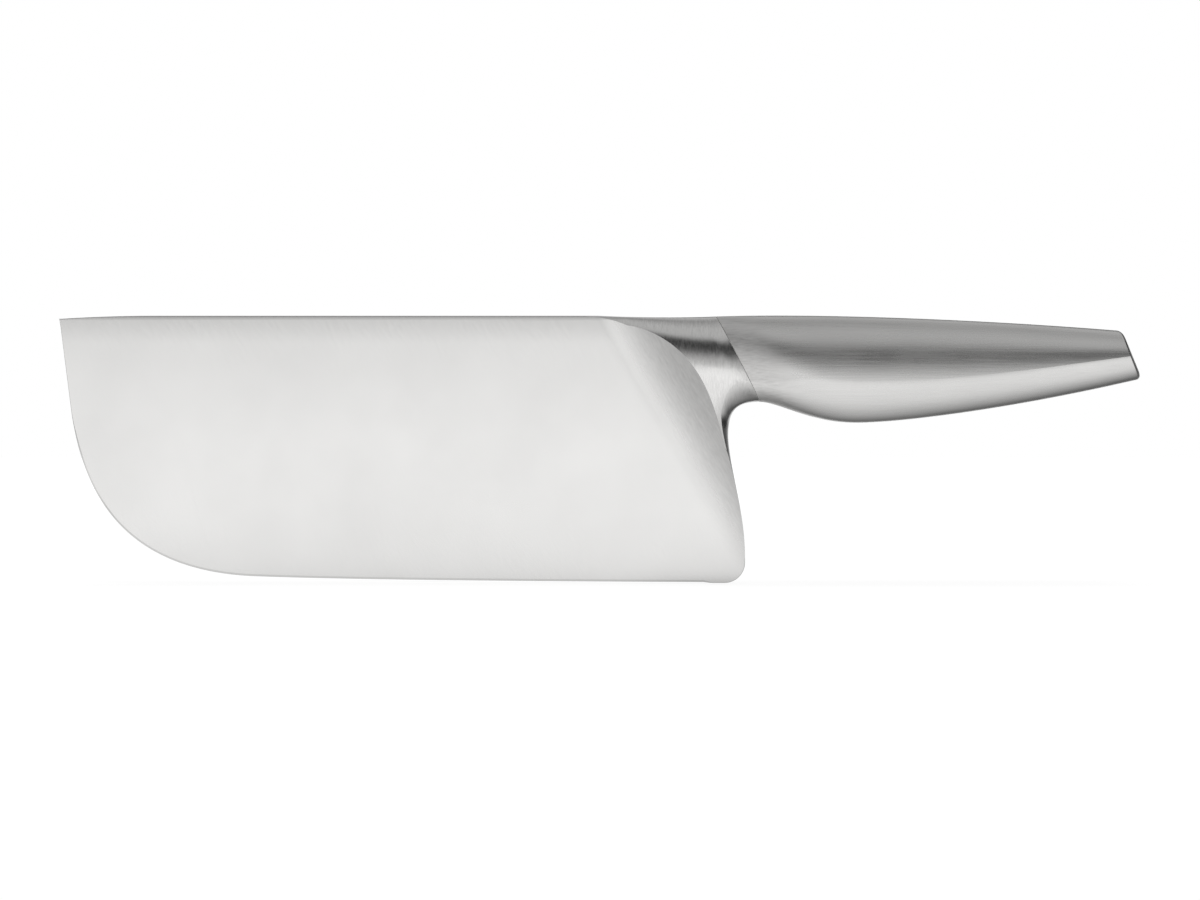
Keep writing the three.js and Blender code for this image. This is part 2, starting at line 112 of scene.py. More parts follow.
SEAM_SETBACK = 8.5
SEAM_RUN = 12.6
SEAM_DIP = 0.2
HANDLE_LENGTH = 118.3
HANDLE_SWELL = 1.0
BUTT_FALL = 4.4
BUTT_RUN = 5.7
BUTT_HEIGHT = 14.0
BUTT_WIDTH = 14.6
BELLY_REACH = 32.4
BELLY_DROP = 31.2
BELLY_WIDTH = 19.0
WIDEST = 0.2
RIDGE_LEVEL = 0.53
RIDGE_SAG = 0.1
RIDGE_CREASE = 0.21
CREASE_START = 0.4

WALL = 1.3
FIT_GAP = 0.3
WELD_GAP = 0.05
SEAM_LIP = 0.07
SPIGOT_LENGTH = 8.0
TANG_LENGTH = 82.0
TANG_HEIGHT = 9.0
TANG_THICKNESS = 5.0
CAP_THICKNESS = 1.8
CAP_ROUND = 1.4
CAP_CROWN = 1.5
PLUG_LENGTH = 3.0

# Places of the middle control points of the outline's curves, as shares of the way or of a size
TIP_PULL = (0.525, 0.696)
TIP_LIFT = 0.0285
EDGE_PULL = 0.25
NOTCH_PULL = (0.72, 0.76)
HEEL_PULL = (0.226, 0.395)
BOLSTER_PULL = (0.29, 0.28)
BOLSTER_REAR_DIP = 0.9
HANDLE_PULL = (0.255, 0.34)
HANDLE_ARCH = 0.75
NECK_PULL = (0.21, 0.49)
BELLY_PULL = (0.156, 0.453)
BELLY_LIFT = 0.685

# Stretches over which the blank changes, as shares of the fan from the seam to the heel's foot
ROOF_STRETCH = (0.05, 0.4)
HEEL_STRETCH = (0.38, 0.66)
CREASE_STRETCH = (0, 0.16)
SEAM_STRETCH = (0, 0.12)
FLANK_STRETCH = (0, 0.25)
GRINDING_STRETCH = (0.2, 0.6)

# The same along the handle, as shares of its length
ROUND_STRETCH = (0, 0.2)

# The same in millimetres: in front of the spine's start, and along the blade's edge from the heel
SPINE_STRETCH = (-7, 5)
ARRIS_STRETCH = (-0.2, 2)
HEEL_SHARPENING = 3
TIP_BLUNTING = 12

# Powers of the shares that shape a taper
TAPER_POWER = 1.55
WIDTH_POWER = 1.6
CREASE_POWER = 1.2
TANG_POWER = 0.25

# Where on the spine the lines to the edge's two ends start, and how far past the foot of the front
# edge the line to it starts, in millimetres
SPINE_OVER_HEEL = -90.0
SPINE_OVER_TIP = -172.0
SPINE_PAST_FRONT = 1.2

# Grid sizes
TOP_ROWS = 24
FACE_ROWS = 40
FACE_CROWD = 1.4
FLANK_ROWS = 10
FOOT_ROWS = 14
SHELL_ROWS = 26
FLAT_ROWS = 4
NECK_COLUMNS = 46
FAN_COLUMNS = 120
BLADE_COLUMNS = 60
HANDLE_COLUMNS = 96
CORNER_POINTS = 17
EDGE_POINTS = 60
TIP_POINTS = 90
FRONT_POINTS = 12
LIP_POINTS = 7
FLANGE_POINTS = 5
RIM_POINTS = 13
REAR_POINTS = 9

# Fineness of curves, searches, slopes and joins
CURVE_POINTS = 2001
TRIED_DEPTHS = 1201
HALVINGS = 40
SLOPE_STEP = 1e-4
NORMAL_STEP = 1e-5
JOIN_DIGITS = 5
TINY = 1e-12

MM = 0.001
HEEL_X = cad_low.x / MM + BLADE_LENGTH


def point(x, z):
    """A point or direction in the XZ plane."""
    return np.array([x, z], float)


def mix(a, b, share):
    """A share of the way from a to b."""
    return a + (b - a) * share


def unit(vectors):
    """Vectors divided by their length."""
    size = np.linalg.norm(vectors, axis=-1, keepdims=True)
    return vectors / np.maximum(size, TINY)


def smooth(value, low, high):
    """0 below low, 1 above high, 3t^2 - 2t^3 between."""
    t = np.clip((value - low) / (high - low), 0, 1)
    return t * t * (3 - 2 * t)


def bezier(ends, t):
    """Cubic curve with four control points, at each share t of the way."""
    t = np.asarray(t, float)[..., None]
    a, b, c, d = ends
    return (1 - t) ** 3 * a + 3 * (1 - t) ** 2 * t * b + 3 * (1 - t) * t**2 * c + t**3 * d


def height_on(ends, x):
    """Height of a cubic curve that runs towards +X, at each x."""
    line = bezier(ends, np.linspace(0, 1, CURVE_POINTS))
    return np.interp(x, line[:, 0], line[:, 1])


# Outline points and curves in the XZ plane
spine_start = point(-BOLSTER_REACH, BLADE_HEIGHT)
tip_corner = point(-BLADE_LENGTH, BLADE_HEIGHT - SPINE_FALL)
front_foot = tip_corner + point(FRONT_LEAN, -FRONT_LENGTH)
tip_foot = point(front_foot[0] + TIP_RUN, EDGE_RISE)
edge_end = point(-SHARP_STOP, SHARP_STEP)
heel_back = point(0, HEEL_FOOT)
seam_top = point(-SEAM_SETBACK, BLADE_HEIGHT - SEAM_DIP)
seam_foot = point(seam_top[0] + SEAM_RUN, BLADE_HEIGHT - NECK_HEIGHT)
notch_deep = point(-NOTCH_DEPTH, seam_foot[1] - NOTCH_ROUND)
butt_top = point(seam_top[0] + HANDLE_LENGTH, BLADE_HEIGHT - BUTT_FALL)
butt_foot = butt_top + point(BUTT_RUN, -BUTT_HEIGHT)
belly = point(BELLY_REACH, BLADE_HEIGHT - BELLY_DROP)

tip_curve = (
    front_foot,
    point(front_foot[0] + FRONT_LEAN, mix(front_foot[1], tip_foot[1], TIP_PULL[0])),
    point(mix(tip_foot[0], front_foot[0], TIP_PULL[1]), tip_foot[1] + TIP_LIFT * TIP_RUN),
    tip_foot,
)
notch_curve = (
    seam_foot,
    point(mix(seam_foot[0], notch_deep[0], NOTCH_PULL[0]), seam_foot[1]),
    point(notch_deep[0], mix(notch_deep[1], seam_foot[1], NOTCH_PULL[1])),
    notch_deep,
)
heel_curve = (
    notch_deep,
    point(notch_deep[0], mix(notch_deep[1], heel_back[1], HEEL_PULL[0])),
    point(heel_back[0], mix(heel_back[1], notch_deep[1], HEEL_PULL[1])),
    heel_back,
)
bolster_top = (
    spine_start,
    point(mix(spine_start[0], seam_top[0], BOLSTER_PULL[0]), BLADE_HEIGHT - BOLSTER_DIP),
    point(
        mix(seam_top[0], spine_start[0], BOLSTER_PULL[1]),
        seam_top[1] - BOLSTER_REAR_DIP * BOLSTER_DIP,
    ),
    seam_top,
)
handle_top = (
    seam_top,
    point(mix(seam_top[0], butt_top[0], HANDLE_PULL[0]), seam_top[1] + HANDLE_SWELL),
    point(mix(butt_top[0], seam_top[0], HANDLE_PULL[1]), butt_top[1] + HANDLE_ARCH * BUTT_FALL),
    butt_top,
)
neck_curve = (
    seam_foot,
    point(mix(seam_foot[0], belly[0], NECK_PULL[0]), seam_foot[1]),
    point(mix(belly[0], seam_foot[0], NECK_PULL[1]), belly[1]),
    belly,
)
belly_curve = (
    belly,
    point(mix(belly[0], butt_foot[0], BELLY_PULL[0]), belly[1]),
    point(mix(butt_foot[0], belly[0], BELLY_PULL[1]), mix(butt_foot[1], belly[1], BELLY_LIFT)),
    butt_foot,
)


# Forged blade and bolster

plunge_line = point(PLUNGE_FOOT, 0) - spine_start
plunge_across = point(-plunge_line[1], plunge_line[0]) / np.linalg.norm(plunge_line)


def ground_half(xz):
    """Half thickness left by grinding: a flat face that thins from spine to edge, less a wide roll
    and a narrow ease along the spine, both squares of the share of their run, plus a hollow of the
    plunge radius that rises past the plunge line."""
    past = np.clip((xz - spine_start) @ plunge_across, 0, HOLLOW_MOST * PLUNGE_RADIUS)
    flat = mix(EDGE_THICKNESS, SPINE_THICKNESS, xz[..., 1] / BLADE_HEIGHT) / 2
    below = BLADE_HEIGHT - xz[..., 1]
    rolled = SPINE_ROLL * np.clip(1 - below / SPINE_ROLL_RUN, 0, 1) ** 2
    eased = SPINE_EASE * np.clip(1 - below / SPINE_EASE_RUN, 0, 1) ** 2
    return flat - rolled - eased + PLUNGE_RADIUS - np.sqrt(PLUNGE_RADIUS**2 - past**2)


def ground_normal(xz):
    """Outward normal of the ground face on the side y >= 0, from its slopes in x and z."""
    slope_x, slope_z = (
        (ground_half(xz + step) - ground_half(xz - step)) / (2 * SLOPE_STEP)
        for step in (point(SLOPE_STEP, 0), point(0, SLOPE_STEP))
    )
    return unit(np.stack([-slope_x, np.ones_like(slope_x), -slope_z], -1))


def blank_sections(share):
    """Straight sections of the forged blank that fan out from the seam (share 0) round the finger
    notch to the foot of the heel (share 1): ends in XZ, the rounding and crease at the foot, how
    much of the flank's narrowing each section has, and how much rounder its top is. The first half
    of them ends on the notch and the second half on the back of the heel."""
    x = mix(seam_top[0], spine_start[0] - FAN_REACH, share * (1 + share) / 2)
    top = np.stack([x, height_on(bolster_top, x)], -1)
    notch = bezier(notch_curve, np.clip(2 * share, 0, 1))
    heel = bezier(heel_curve, np.clip(2 * share - 1, 0, 1))
    foot = np.where(share[:, None] < 0.5, notch, heel)
    roof_round = mix(NOTCH_EASE, NOTCH_EASE_DEEP, smooth(share, *ROOF_STRETCH))
    foot_round = mix(roof_round, NOTCH_EASE_HEEL, smooth(share, *HEEL_STRETCH))
    crease = NOTCH_CREASE * smooth(share, *CREASE_STRETCH)
    rounder = SEAM_DROP * (1 - smooth(share, *SEAM_STRETCH))
    return top, foot, foot_round, crease, smooth(share, *FLANK_STRETCH), rounder


def arc(t, crease=0.0):
    """Rise of a quarter ellipse from 0 to 1 with its last part, the crease, cut off."""
    t = np.clip(t, 0, 1) * (1 - crease)
    return np.sqrt(np.maximum(1 - (1 - t) ** 2, 0)) / np.sqrt(1 - crease**2)


def on_sections(sections, depth):
    """Points in XZ at each share of the way down each section, and the blank's half width there:
    the neck's half width, narrowed towards the blade and down the flank, times an elliptic rise
    from the top line and one from the foot."""
    top, foot, foot_round, crease, narrowing, rounder = sections
    xz = mix(top[:, None], foot[:, None], depth[..., None])
    x, z = xz[..., 0], xz[..., 1]
    taper = np.clip((seam_top[0] - x) / TAPER_RUN, 0, 1)
    width = NECK_WIDTH / 2 - TAPER_LOSS * taper**TAPER_POWER
    below = np.maximum(BLADE_HEIGHT - FLANK_DROP - z, 0)
    flank = 1 - FLANK_SLOPE * (np.hypot(below, FLANK_EASE) - FLANK_EASE)
    width = width * mix(1, np.maximum(flank, FLANK_LEAST), narrowing[:, None])
    to_spine = smooth(spine_start[0] - x, *SPINE_STRETCH)
    drop = mix(TOP_DROP - TOP_DROP_LOSS * taper + rounder[:, None], SPINE_DROP, to_spine)
    rise = arc((height_on(bolster_top, x) - z) / drop)
    length = np.linalg.norm(foot - top, axis=-1)[:, None]
    ease = arc((1 - depth) * length / foot_round[:, None], crease[:, None])
    return xz, width * rise * ease


def above_ground(sections, depth):
    """How far the blank stands out over the ground face: negative on the bolster."""
    xz, half = on_sections(sections, depth)
    return half - ground_half(xz)


def crest_depths(sections):
    """Depths on each section where the ground face starts and ends, found by halving; both are
    the section's nearest approach where the grinding doesn't reach it."""
    count = len(sections[0])
    tried = np.tile(np.linspace(0, 1, TRIED_DEPTHS), (count, 1))
    nearest = np.argmax(above_ground(sections, tried), axis=1)
    nearest = (nearest / (TRIED_DEPTHS - 1))[:, None]
    ground = above_ground(sections, nearest) > 0
    low, high = np.zeros((count, 1)), nearest.copy()
    low_end, high_end = nearest.copy(), np.ones((count, 1))
    for _ in range(HALVINGS):
        middle = (low + high) / 2
        inside = above_ground(sections, middle) > 0
        low, high = np.where(inside, low, middle), np.where(inside, middle, high)
        middle = (low_end + high_end) / 2
        inside = above_ground(sections, middle) > 0
        low_end, high_end = np.where(inside, middle, low_end), np.where(inside, high_end, middle)
    return np.where(ground, high, nearest), np.where(ground, low_end, nearest)


def grinding_start():
    """Share of the fan where the grinding first touches a section, found by halving."""
    low, high = GRINDING_STRETCH
    depth = np.linspace(0, 1, TRIED_DEPTHS)[None]
    for _ in range(HALVINGS):
        middle = (low + high) / 2
        reached = above_ground(blank_sections(np.array([middle])), depth).max() > 0
        low, high = (low, middle) if reached else (middle, high)
    return high


def blade_columns(count):
    """Lines across the blade in front of the fan. They start on the spine and end on the heel's
    corner, the edge, the rounded tip and the front edge; returns both ends, how sharp each end
    is (0 a rounded arris, 1 a bevel) and how far the arris or bevel reaches in."""
    angle = np.linspace(0, np.pi / 2, CORNER_POINTS)
    corner = HEEL_RADIUS * np.stack([np.cos(angle) - 1, 1 - np.sin(angle)], -1)
    t = np.linspace(0, 1, EDGE_POINTS)[:, None]
    edge_middle = point(mix(tip_foot[0], edge_end[0], EDGE_PULL), EDGE_BOW)
    edge = (1 - t) ** 2 * edge_end + 2 * (1 - t) * t * edge_middle + t**2 * tip_foot
    rounded = bezier(tip_curve, np.linspace(1, 0, TIP_POINTS))
    front = mix(front_foot, tip_corner, np.linspace(0, 1, FRONT_POINTS)[:, None])
    step = point(edge_end[0] + STEP_RUN, 0)
    foot = np.concatenate([[heel_back], corner, [step], edge, rounded[1:], front[1:]])
    run = np.concatenate([[0], np.cumsum(np.linalg.norm(np.diff(foot, axis=0), axis=1))])
    place = np.linspace(0, run[-1], count)
    place = np.unique(np.concatenate([place, run]))
    foot = np.stack([np.interp(place, run, foot[:, 0]), np.interp(place, run, foot[:, 1])], -1)
    heel_end, edge_stop, tip_end = np.cumsum([1 + CORNER_POINTS, EDGE_POINTS, TIP_POINTS - 1])
    marks = run[[0, heel_end, edge_stop, tip_end, -1]]
    fan_end = spine_start[0] - FAN_REACH
    front_start = front_foot[0] - SPINE_PAST_FRONT
    spine_marks = [fan_end, SPINE_OVER_HEEL, SPINE_OVER_TIP, front_start, tip_corner[0]]
    x = np.interp(place, marks, spine_marks)
    fall = np.clip((tip_corner[0] + SPINE_FALL_RUN - x) / SPINE_FALL_RUN, 0, 1)
    top = np.stack([x, BLADE_HEIGHT - SPINE_FALL * fall**2], -1)
    top[-1] = tip_corner
    sharp = smooth(place, marks[1], marks[1] + HEEL_SHARPENING)
    sharp = sharp * (1 - smooth(place, marks[3] - TIP_BLUNTING, marks[3]))
    reach = mix(ARRIS, BEVEL_WIDTH, sharp) * smooth(place, *ARRIS_STRETCH)
    return top[1:], foot[1:], sharp[1:], reach[1:]


def cosine_rows(count):
    """Rows from 0 to 1 that crowd towards 0, so that a rounding gets even steps."""
    return 1 - np.cos(np.linspace(0, np.pi / 2, count + 1))


def face_rows():
    """Rows from 0 to 1 over the ground face, closer together at the spine."""
    return np.linspace(0, 1, FACE_ROWS + 1) ** FACE_CROWD


def fan_grid(share):
    """Points and normals on the fan's sections in four runs of rows: the blank down to the crest,
    the ground face between the crests, the blank's flank, and its rounding into the foot."""
    sections = blank_sections(share)
    first, last = crest_depths(sections)
    length = np.linalg.norm(sections[1] - sections[0], axis=-1)
    ease = np.maximum(1 - sections[2] / length, last[:, 0])[:, None]
    nudge = 2 * NORMAL_STEP
    runs = [
        (first * cosine_rows(TOP_ROWS), 0),
        (mix(first, last, face_rows()), None),
        (mix(last, ease, np.linspace(0, 1, FLANK_ROWS + 1)), -nudge),
        (1 - (1 - ease) * cosine_rows(FOOT_ROWS)[::-1], nudge),
    ]
    grids = []
    for depth, aside in runs:
        xz, half = on_sections(sections, depth)
        half = np.minimum(half, ground_half(xz))
        normals = ground_normal(xz) if aside is None else blank_normals(share, depth + aside)
        normals[half == 0, 1] = 0
        grids.append((solid_points(xz, half), unit(normals)))
    return grids


def blade_grid(count):
    """Points and normals on the blade's lines in the same four runs: the crowned spine, the ground
    face, a flank without width, and the arris or bevel down to the edge."""
    top, foot, sharp, reach = blade_columns(count)
    along = unit(np.gradient(foot, axis=0))
    inward = np.stack([along[:, 1], -along[:, 0]], -1)
    length = np.linalg.norm(foot - top, axis=1)
    shoulder = foot + inward * np.minimum(reach, ARRIS_MOST * length)[:, None]
    half = NECK_WIDTH / 2 - TAPER_LOSS
    crown = 1 - np.sqrt(1 - (ground_half(top) / half) ** 2)
    crown_depth = np.minimum(SPINE_DROP * crown, CROWN_MOST * length)
    down = unit(foot - top)
    spine_edge = top + down * crown_depth[:, None]
    spine_edge[-1] = shoulder[-1] = tip_corner
    upper = mix(top[:, None], spine_edge[:, None], cosine_rows(TOP_ROWS)[None, :, None])
    rise = arc(crown[:, None] * cosine_rows(TOP_ROWS))
    upper_half = ground_half(spine_edge)[:, None] * rise / rise[:, -1:]
    middle = mix(spine_edge[:, None], shoulder[:, None], face_rows()[None, :, None])
    straight = np.linspace(0, 1, FOOT_ROWS + 1)
    turn = straight * np.pi / 2
    run = mix(np.sin(turn), straight, sharp[:, None])
    lower = mix(shoulder[:, None], foot[:, None], run[..., None])
    thick = ground_half(shoulder)[:, None]
    bevel = mix(thick, EDGE_LAND / 2, straight)
    lower_half = mix(thick * np.cos(turn), bevel, sharp[:, None])
    lower_half[:, -1] = 0
    upper = solid_points(upper, upper_half)
    lower = solid_points(lower, lower_half)
    face = solid_points(middle, ground_half(middle))
    flank = np.repeat(face[:, -1:], FLANK_ROWS + 1, axis=1)
    level = np.broadcast_to([0.0, 1.0, 0.0], flank.shape)
    normals = -grid_normals(upper), ground_normal(middle), level, -grid_normals(lower)
    return list(zip((upper, face, flank, lower), normals))


def handle_sections(distance, inset):
    """Slanted sections of the handle at each distance from the seam, drawn in by an inset: ends
    in XZ, half width, the two end roundings and the crease at the ridge."""
    share = distance / HANDLE_LENGTH
    top_x = mix(seam_top[0], butt_top[0], share)
    foot_x = mix(seam_foot[0], butt_foot[0], share)
    top = np.stack([top_x, height_on(handle_top, top_x)], -1)
    neck = height_on(neck_curve, foot_x)
    rear = height_on(belly_curve, foot_x)
    foot = np.stack([foot_x, np.where(foot_x < belly[0], neck, rear)], -1)
    length = np.linalg.norm(foot - top, axis=1)
    down = (foot - top) / length[:, None]
    short = np.clip(1 - share / WIDEST, 0, 1)
    past = np.clip((share - WIDEST) / (1 - WIDEST), 0, 1)
    width = mix(mix(BELLY_WIDTH, NECK_WIDTH, short**2), BUTT_WIDTH, past**WIDTH_POWER)
    ridge = RIDGE_LEVEL + RIDGE_SAG * 4 * share * (1 - share)
    blend = smooth(share, *ROUND_STRETCH)
    shrink = (length - 2 * inset) / length
    slant = np.linalg.norm(seam_foot - seam_top) / (seam_top[1] - seam_foot[1])
    top_round = mix((TOP_DROP + SEAM_DROP) * slant, ridge * length, blend) * shrink
    foot_round = mix(NOTCH_EASE, (1 - ridge) * length, blend) * shrink
    creased = np.clip((share - CREASE_START) / (1 - CREASE_START), 0, 1)
    crease = RIDGE_CREASE * creased**CREASE_POWER
    ends = top + down * inset[:, None], foot - down * inset[:, None]
    return *ends, width / 2 - inset, top_round, foot_round, crease


HANDLE_RUNS = ("crown", "flat", "belly")


def handle_skin(distance, inset, run, rows):
    """Points of one run of the handle's skin on the side y >= 0, rows from 0 to 1: the crown is an
    elliptic arc from the top that stops short of level at the ridge, the flat follows where
    there is one, and the belly is a quarter ellipse into the foot."""
    sections = handle_sections(distance, inset)
    top, foot = sections[:2]
    half, top_round, foot_round, crease = (value[:, None] for value in sections[2:])
    length = np.linalg.norm(foot - top, axis=1)[:, None]
    if run == "crown":
        end = np.arccos(crease)
        depth = top_round * (1 - np.cos(rows * end)) / (1 - crease)
        bulge = np.sin(rows * end) / np.sin(end)
    elif run == "flat":
        depth = top_round + np.maximum(length - top_round - foot_round, 0) * rows
        bulge = np.ones_like(depth)
    else:
        depth = length - foot_round * (1 - np.sin(rows * np.pi / 2))
        bulge = np.cos(rows * np.pi / 2) + 0 * depth
        bulge[np.abs(bulge) < TINY] = 0
    xz = mix(top[:, None], foot[:, None], (depth / length)[..., None])
    return solid_points(xz, half * bulge)


def handle_runs(distance, inset):
    """The runs' grids, with normals square to a small step along the path of distance and inset
    and one along the section."""
    distance = np.asarray(distance, float)
    inset = np.asarray(inset, float)
    ahead = np.gradient(distance), np.gradient(inset)
    size = np.hypot(*ahead)
    ahead = [NORMAL_STEP * part / size for part in ahead]
    grids = []
    for run in HANDLE_RUNS:
        rows = np.linspace(0, 1, (FLAT_ROWS if run == "flat" else SHELL_ROWS) + 1)
        across = handle_skin(distance + ahead[0], inset + ahead[1], run, rows)
        across = across - handle_skin(distance - ahead[0], inset - ahead[1], run, rows)
        down = handle_skin(distance, inset, run, rows + NORMAL_STEP)
        down = down - handle_skin(distance, inset, run, rows - NORMAL_STEP)
        points = handle_skin(distance, inset, run, rows)
        normals = unit(np.cross(across, down))
        normals[points[..., 1] == 0, 1] = 0
        grids.append((points, unit(normals)))
    return grids


def handle_surface(distance, inset):
    """All runs of the handle's skin as one grid."""
    runs = [points for points, _ in handle_runs(distance, inset)]
    return np.concatenate([runs[0], runs[1][:, 1:-1], runs[2]], 1)


def solid_points(xz, half):
    """Points in space from XZ and the half width, which lies along Y."""
    return np.stack([xz[..., 0], half, xz[..., 1]], -1)


def grid_normals(points):
    """Unit normals of a grid, square to its steps along columns and rows. Points in the middle
    plane get theirs in that plane, so that the two sides meet without a crease, and a point
    where the steps vanish takes the grid's mean."""
    normal = np.cross(np.gradient(points, axis=0), np.gradient(points, axis=1))
    lost = np.linalg.norm(normal, axis=-1) < TINY
    normal = unit(normal)
    normal[lost] = unit(normal[~lost].mean(0))
    normal[points[..., 1] == 0, 1] = 0
    return unit(normal)


def blank_normals(share, depth):
    """Unit normals of the blank, square to a small step between sections and one along them."""

    def skin(shares, depths):
        """Points of the blank at shares of the fan and depths of its sections."""
        sections = blank_sections(np.clip(shares, 0, 1))
        return solid_points(*on_sections(sections, np.clip(depths, 0, 1)))

    across = skin(share + NORMAL_STEP, depth) - skin(share - NORMAL_STEP, depth)
    down = skin(share, depth + NORMAL_STEP) - skin(share, depth - NORMAL_STEP)
    return unit(np.cross(down, across))


def patch(points, normals=None, finish=0, turned=False):
    """A grid with its normals, its finish per column and whether its faces are turned over."""
    if normals is None:
        normals = grid_normals(points) * (-1 if turned else 1)
    finish = np.broadcast_to(finish, len(points) - 1)
    return points, normals, finish, turned


def rings_to_patches(rings, finish=0):
    """Crisp bands between neighbouring rings."""
    return [patch(np.stack(pair), finish=finish) for pair in zip(rings, rings[1:])]


def tang_rings(rows):
    """Half rings of the tang, from its root in the spigot to its end, where the last one is drawn
    in to the middle plane: cosine and sine to a low power, a rounded rectangle."""
    angle = np.linspace(0, np.pi, rows)
    high = np.sign(np.cos(angle)) * np.abs(np.cos(angle)) ** TANG_POWER
    wide = np.sin(angle).clip(0) ** TANG_POWER
    wide[[0, -1]] = 0
    distance = np.array([SPIGOT_LENGTH, TANG_LENGTH])
    top, foot = handle_sections(distance, np.zeros(2))[:2]
    middle = (top + foot) / 2
    xz = middle[:, None] + point(0, 1) * (high * TANG_HEIGHT / 2)[None, :, None]
    rings = list(solid_points(xz, np.tile(wide * TANG_THICKNESS / 2, (2, 1))))
    return rings + [rings[-1] * [1, 0, 1]]


# Finishes of the forging, and the run of rows that is its ground face
GROUND, BOLSTER = 0, 1
GROUND_RUN = 1


def forged_patches():
    """Half of the forging: bolster, ground face and edges, and behind the seam its rounded lip,
    the spigot and the tang. The fan starts one lip in front of the seam, where a section's share
    is twice its share of the fan's length."""
    start = grinding_start()
    lip_share = 2 * SEAM_LIP / (seam_top[0] - spine_start[0] + FAN_REACH)
    before = np.linspace(lip_share, start, NECK_COLUMNS)
    after = start + (1 - start) * np.linspace(0, 1, FAN_COLUMNS)[1:] ** 2
    share = np.concatenate([before, after])
    fan = fan_grid(share)
    blade = blade_grid(BLADE_COLUMNS)
    columns = np.arange(len(share) + len(blade[0][0]) - 1)
    finish = np.where(columns < len(share), BOLSTER, GROUND)
    skins = []
    behind = []
    for run, (fan_part, blade_part) in enumerate(zip(fan, blade)):
        points, normals = map(np.concatenate, zip(fan_part, blade_part))
        if run == GROUND_RUN:
            skins.append(patch(points, normals, GROUND, turned=True))
        else:
            skins.append(patch(points, normals, finish, turned=True))
            behind.append(run)
    front = np.concatenate([fan[run][0][0] for run in behind])
    front_normals = np.concatenate([fan[run][1][0] for run in behind])
    seam_runs = fan_grid(np.zeros(1))
    seam = np.concatenate([seam_runs[run][0][0] for run in behind])
    angle = np.linspace(0, np.pi / 2, LIP_POINTS)[:, None, None]
    lip = mix(front, seam, np.sin(angle)) - front_normals * SEAM_LIP * (1 - np.cos(angle))
    plug = seam - front_normals * (WALL + FIT_GAP)
    rings = [lip[-1], plug, plug + [SPIGOT_LENGTH, 0, 0]] + tang_rings(len(seam))
    return skins + [patch(lip, finish=BOLSTER)] + rings_to_patches(rings, BOLSTER)


def shell_patches():
    """Half of the handle as a closed wall: skin with a rounded lip at the seam, both ends, inner
    skin and the two edges that meet the other half."""
    angle = np.linspace(np.pi / 2, 0, LIP_POINTS)
    lip = WELD_GAP + SEAM_LIP * (1 - np.sin(angle))
    lip_inset = SEAM_LIP * (1 - np.cos(angle))
    rear = HANDLE_LENGTH - CAP_THICKNESS
    along = np.linspace(WELD_GAP + SEAM_LIP, rear, HANDLE_COLUMNS)[1:]
    distance = np.concatenate([lip, along])
    inset = np.concatenate([lip_inset, np.zeros_like(along)])
    skins = [patch(*run) for run in handle_runs(distance, inset)]
    outer = handle_surface(distance, inset)
    inner = handle_surface(distance, np.full(len(distance), WALL))
    edges = []
    for inside, outside in ((inner[:, 0], outer[:, 0]), (outer[:, -1], inner[:, -1])):
        strip = np.stack([inside, outside], 1)
        edges.append(patch(strip, np.broadcast_to([0.0, -1.0, 0.0], strip.shape)))
    ends = [patch(np.stack([inner[0], outer[0]])), patch(np.stack([outer[-1], inner[-1]]))]
    return skins + [patch(inner[::-1])] + edges + ends


def cap_patches():
    """Half of the butt cap: plug, flange, rounded rim and slanted rear face, which is crowned: it
    falls off by the crown's depth times the square of the share of the half width."""
    front = HANDLE_LENGTH - CAP_THICKNESS
    plug_inset = WALL + FIT_GAP
    plug = handle_surface([front - PLUG_LENGTH, front], [plug_inset, plug_inset])
    angle = np.linspace(0, np.pi / 2, RIM_POINTS)
    level = np.linspace(front, HANDLE_LENGTH - CAP_ROUND, FLANGE_POINTS)[:-1]
    distance = np.concatenate([level, HANDLE_LENGTH - CAP_ROUND * (1 - np.sin(angle))])
    inset = np.concatenate([np.zeros_like(level), CAP_ROUND * (1 - np.cos(angle))])
    reached = ((distance - front) / CAP_THICKNESS)[:, None]
    rim = handle_surface(distance, inset)
    inside = rings_to_patches([plug[0] * [1, 0, 1], plug[0], plug[1], rim[0]])
    closing = np.ones((REAR_POINTS, 1, 3))
    closing[:, 0, 1] = np.linspace(1, 0, REAR_POINTS)
    rear = rim[-1] * closing
    for grid, share in ((rim, reached), (rear, 1)):
        grid[..., 0] -= share * CAP_CROWN * (2 * grid[..., 1] / BUTT_WIDTH) ** 2
    return inside + [patch(rim), patch(rear)]


def corners(grid, turned):
    """The four corners of each face of a grid, in the order that faces outwards."""
    faces = np.stack([grid[:-1, :-1], grid[1:, :-1], grid[1:, 1:], grid[:-1, 1:]], 2)
    faces = faces.reshape(-1, 4, 3)
    return faces[:, ::-1] if turned else faces


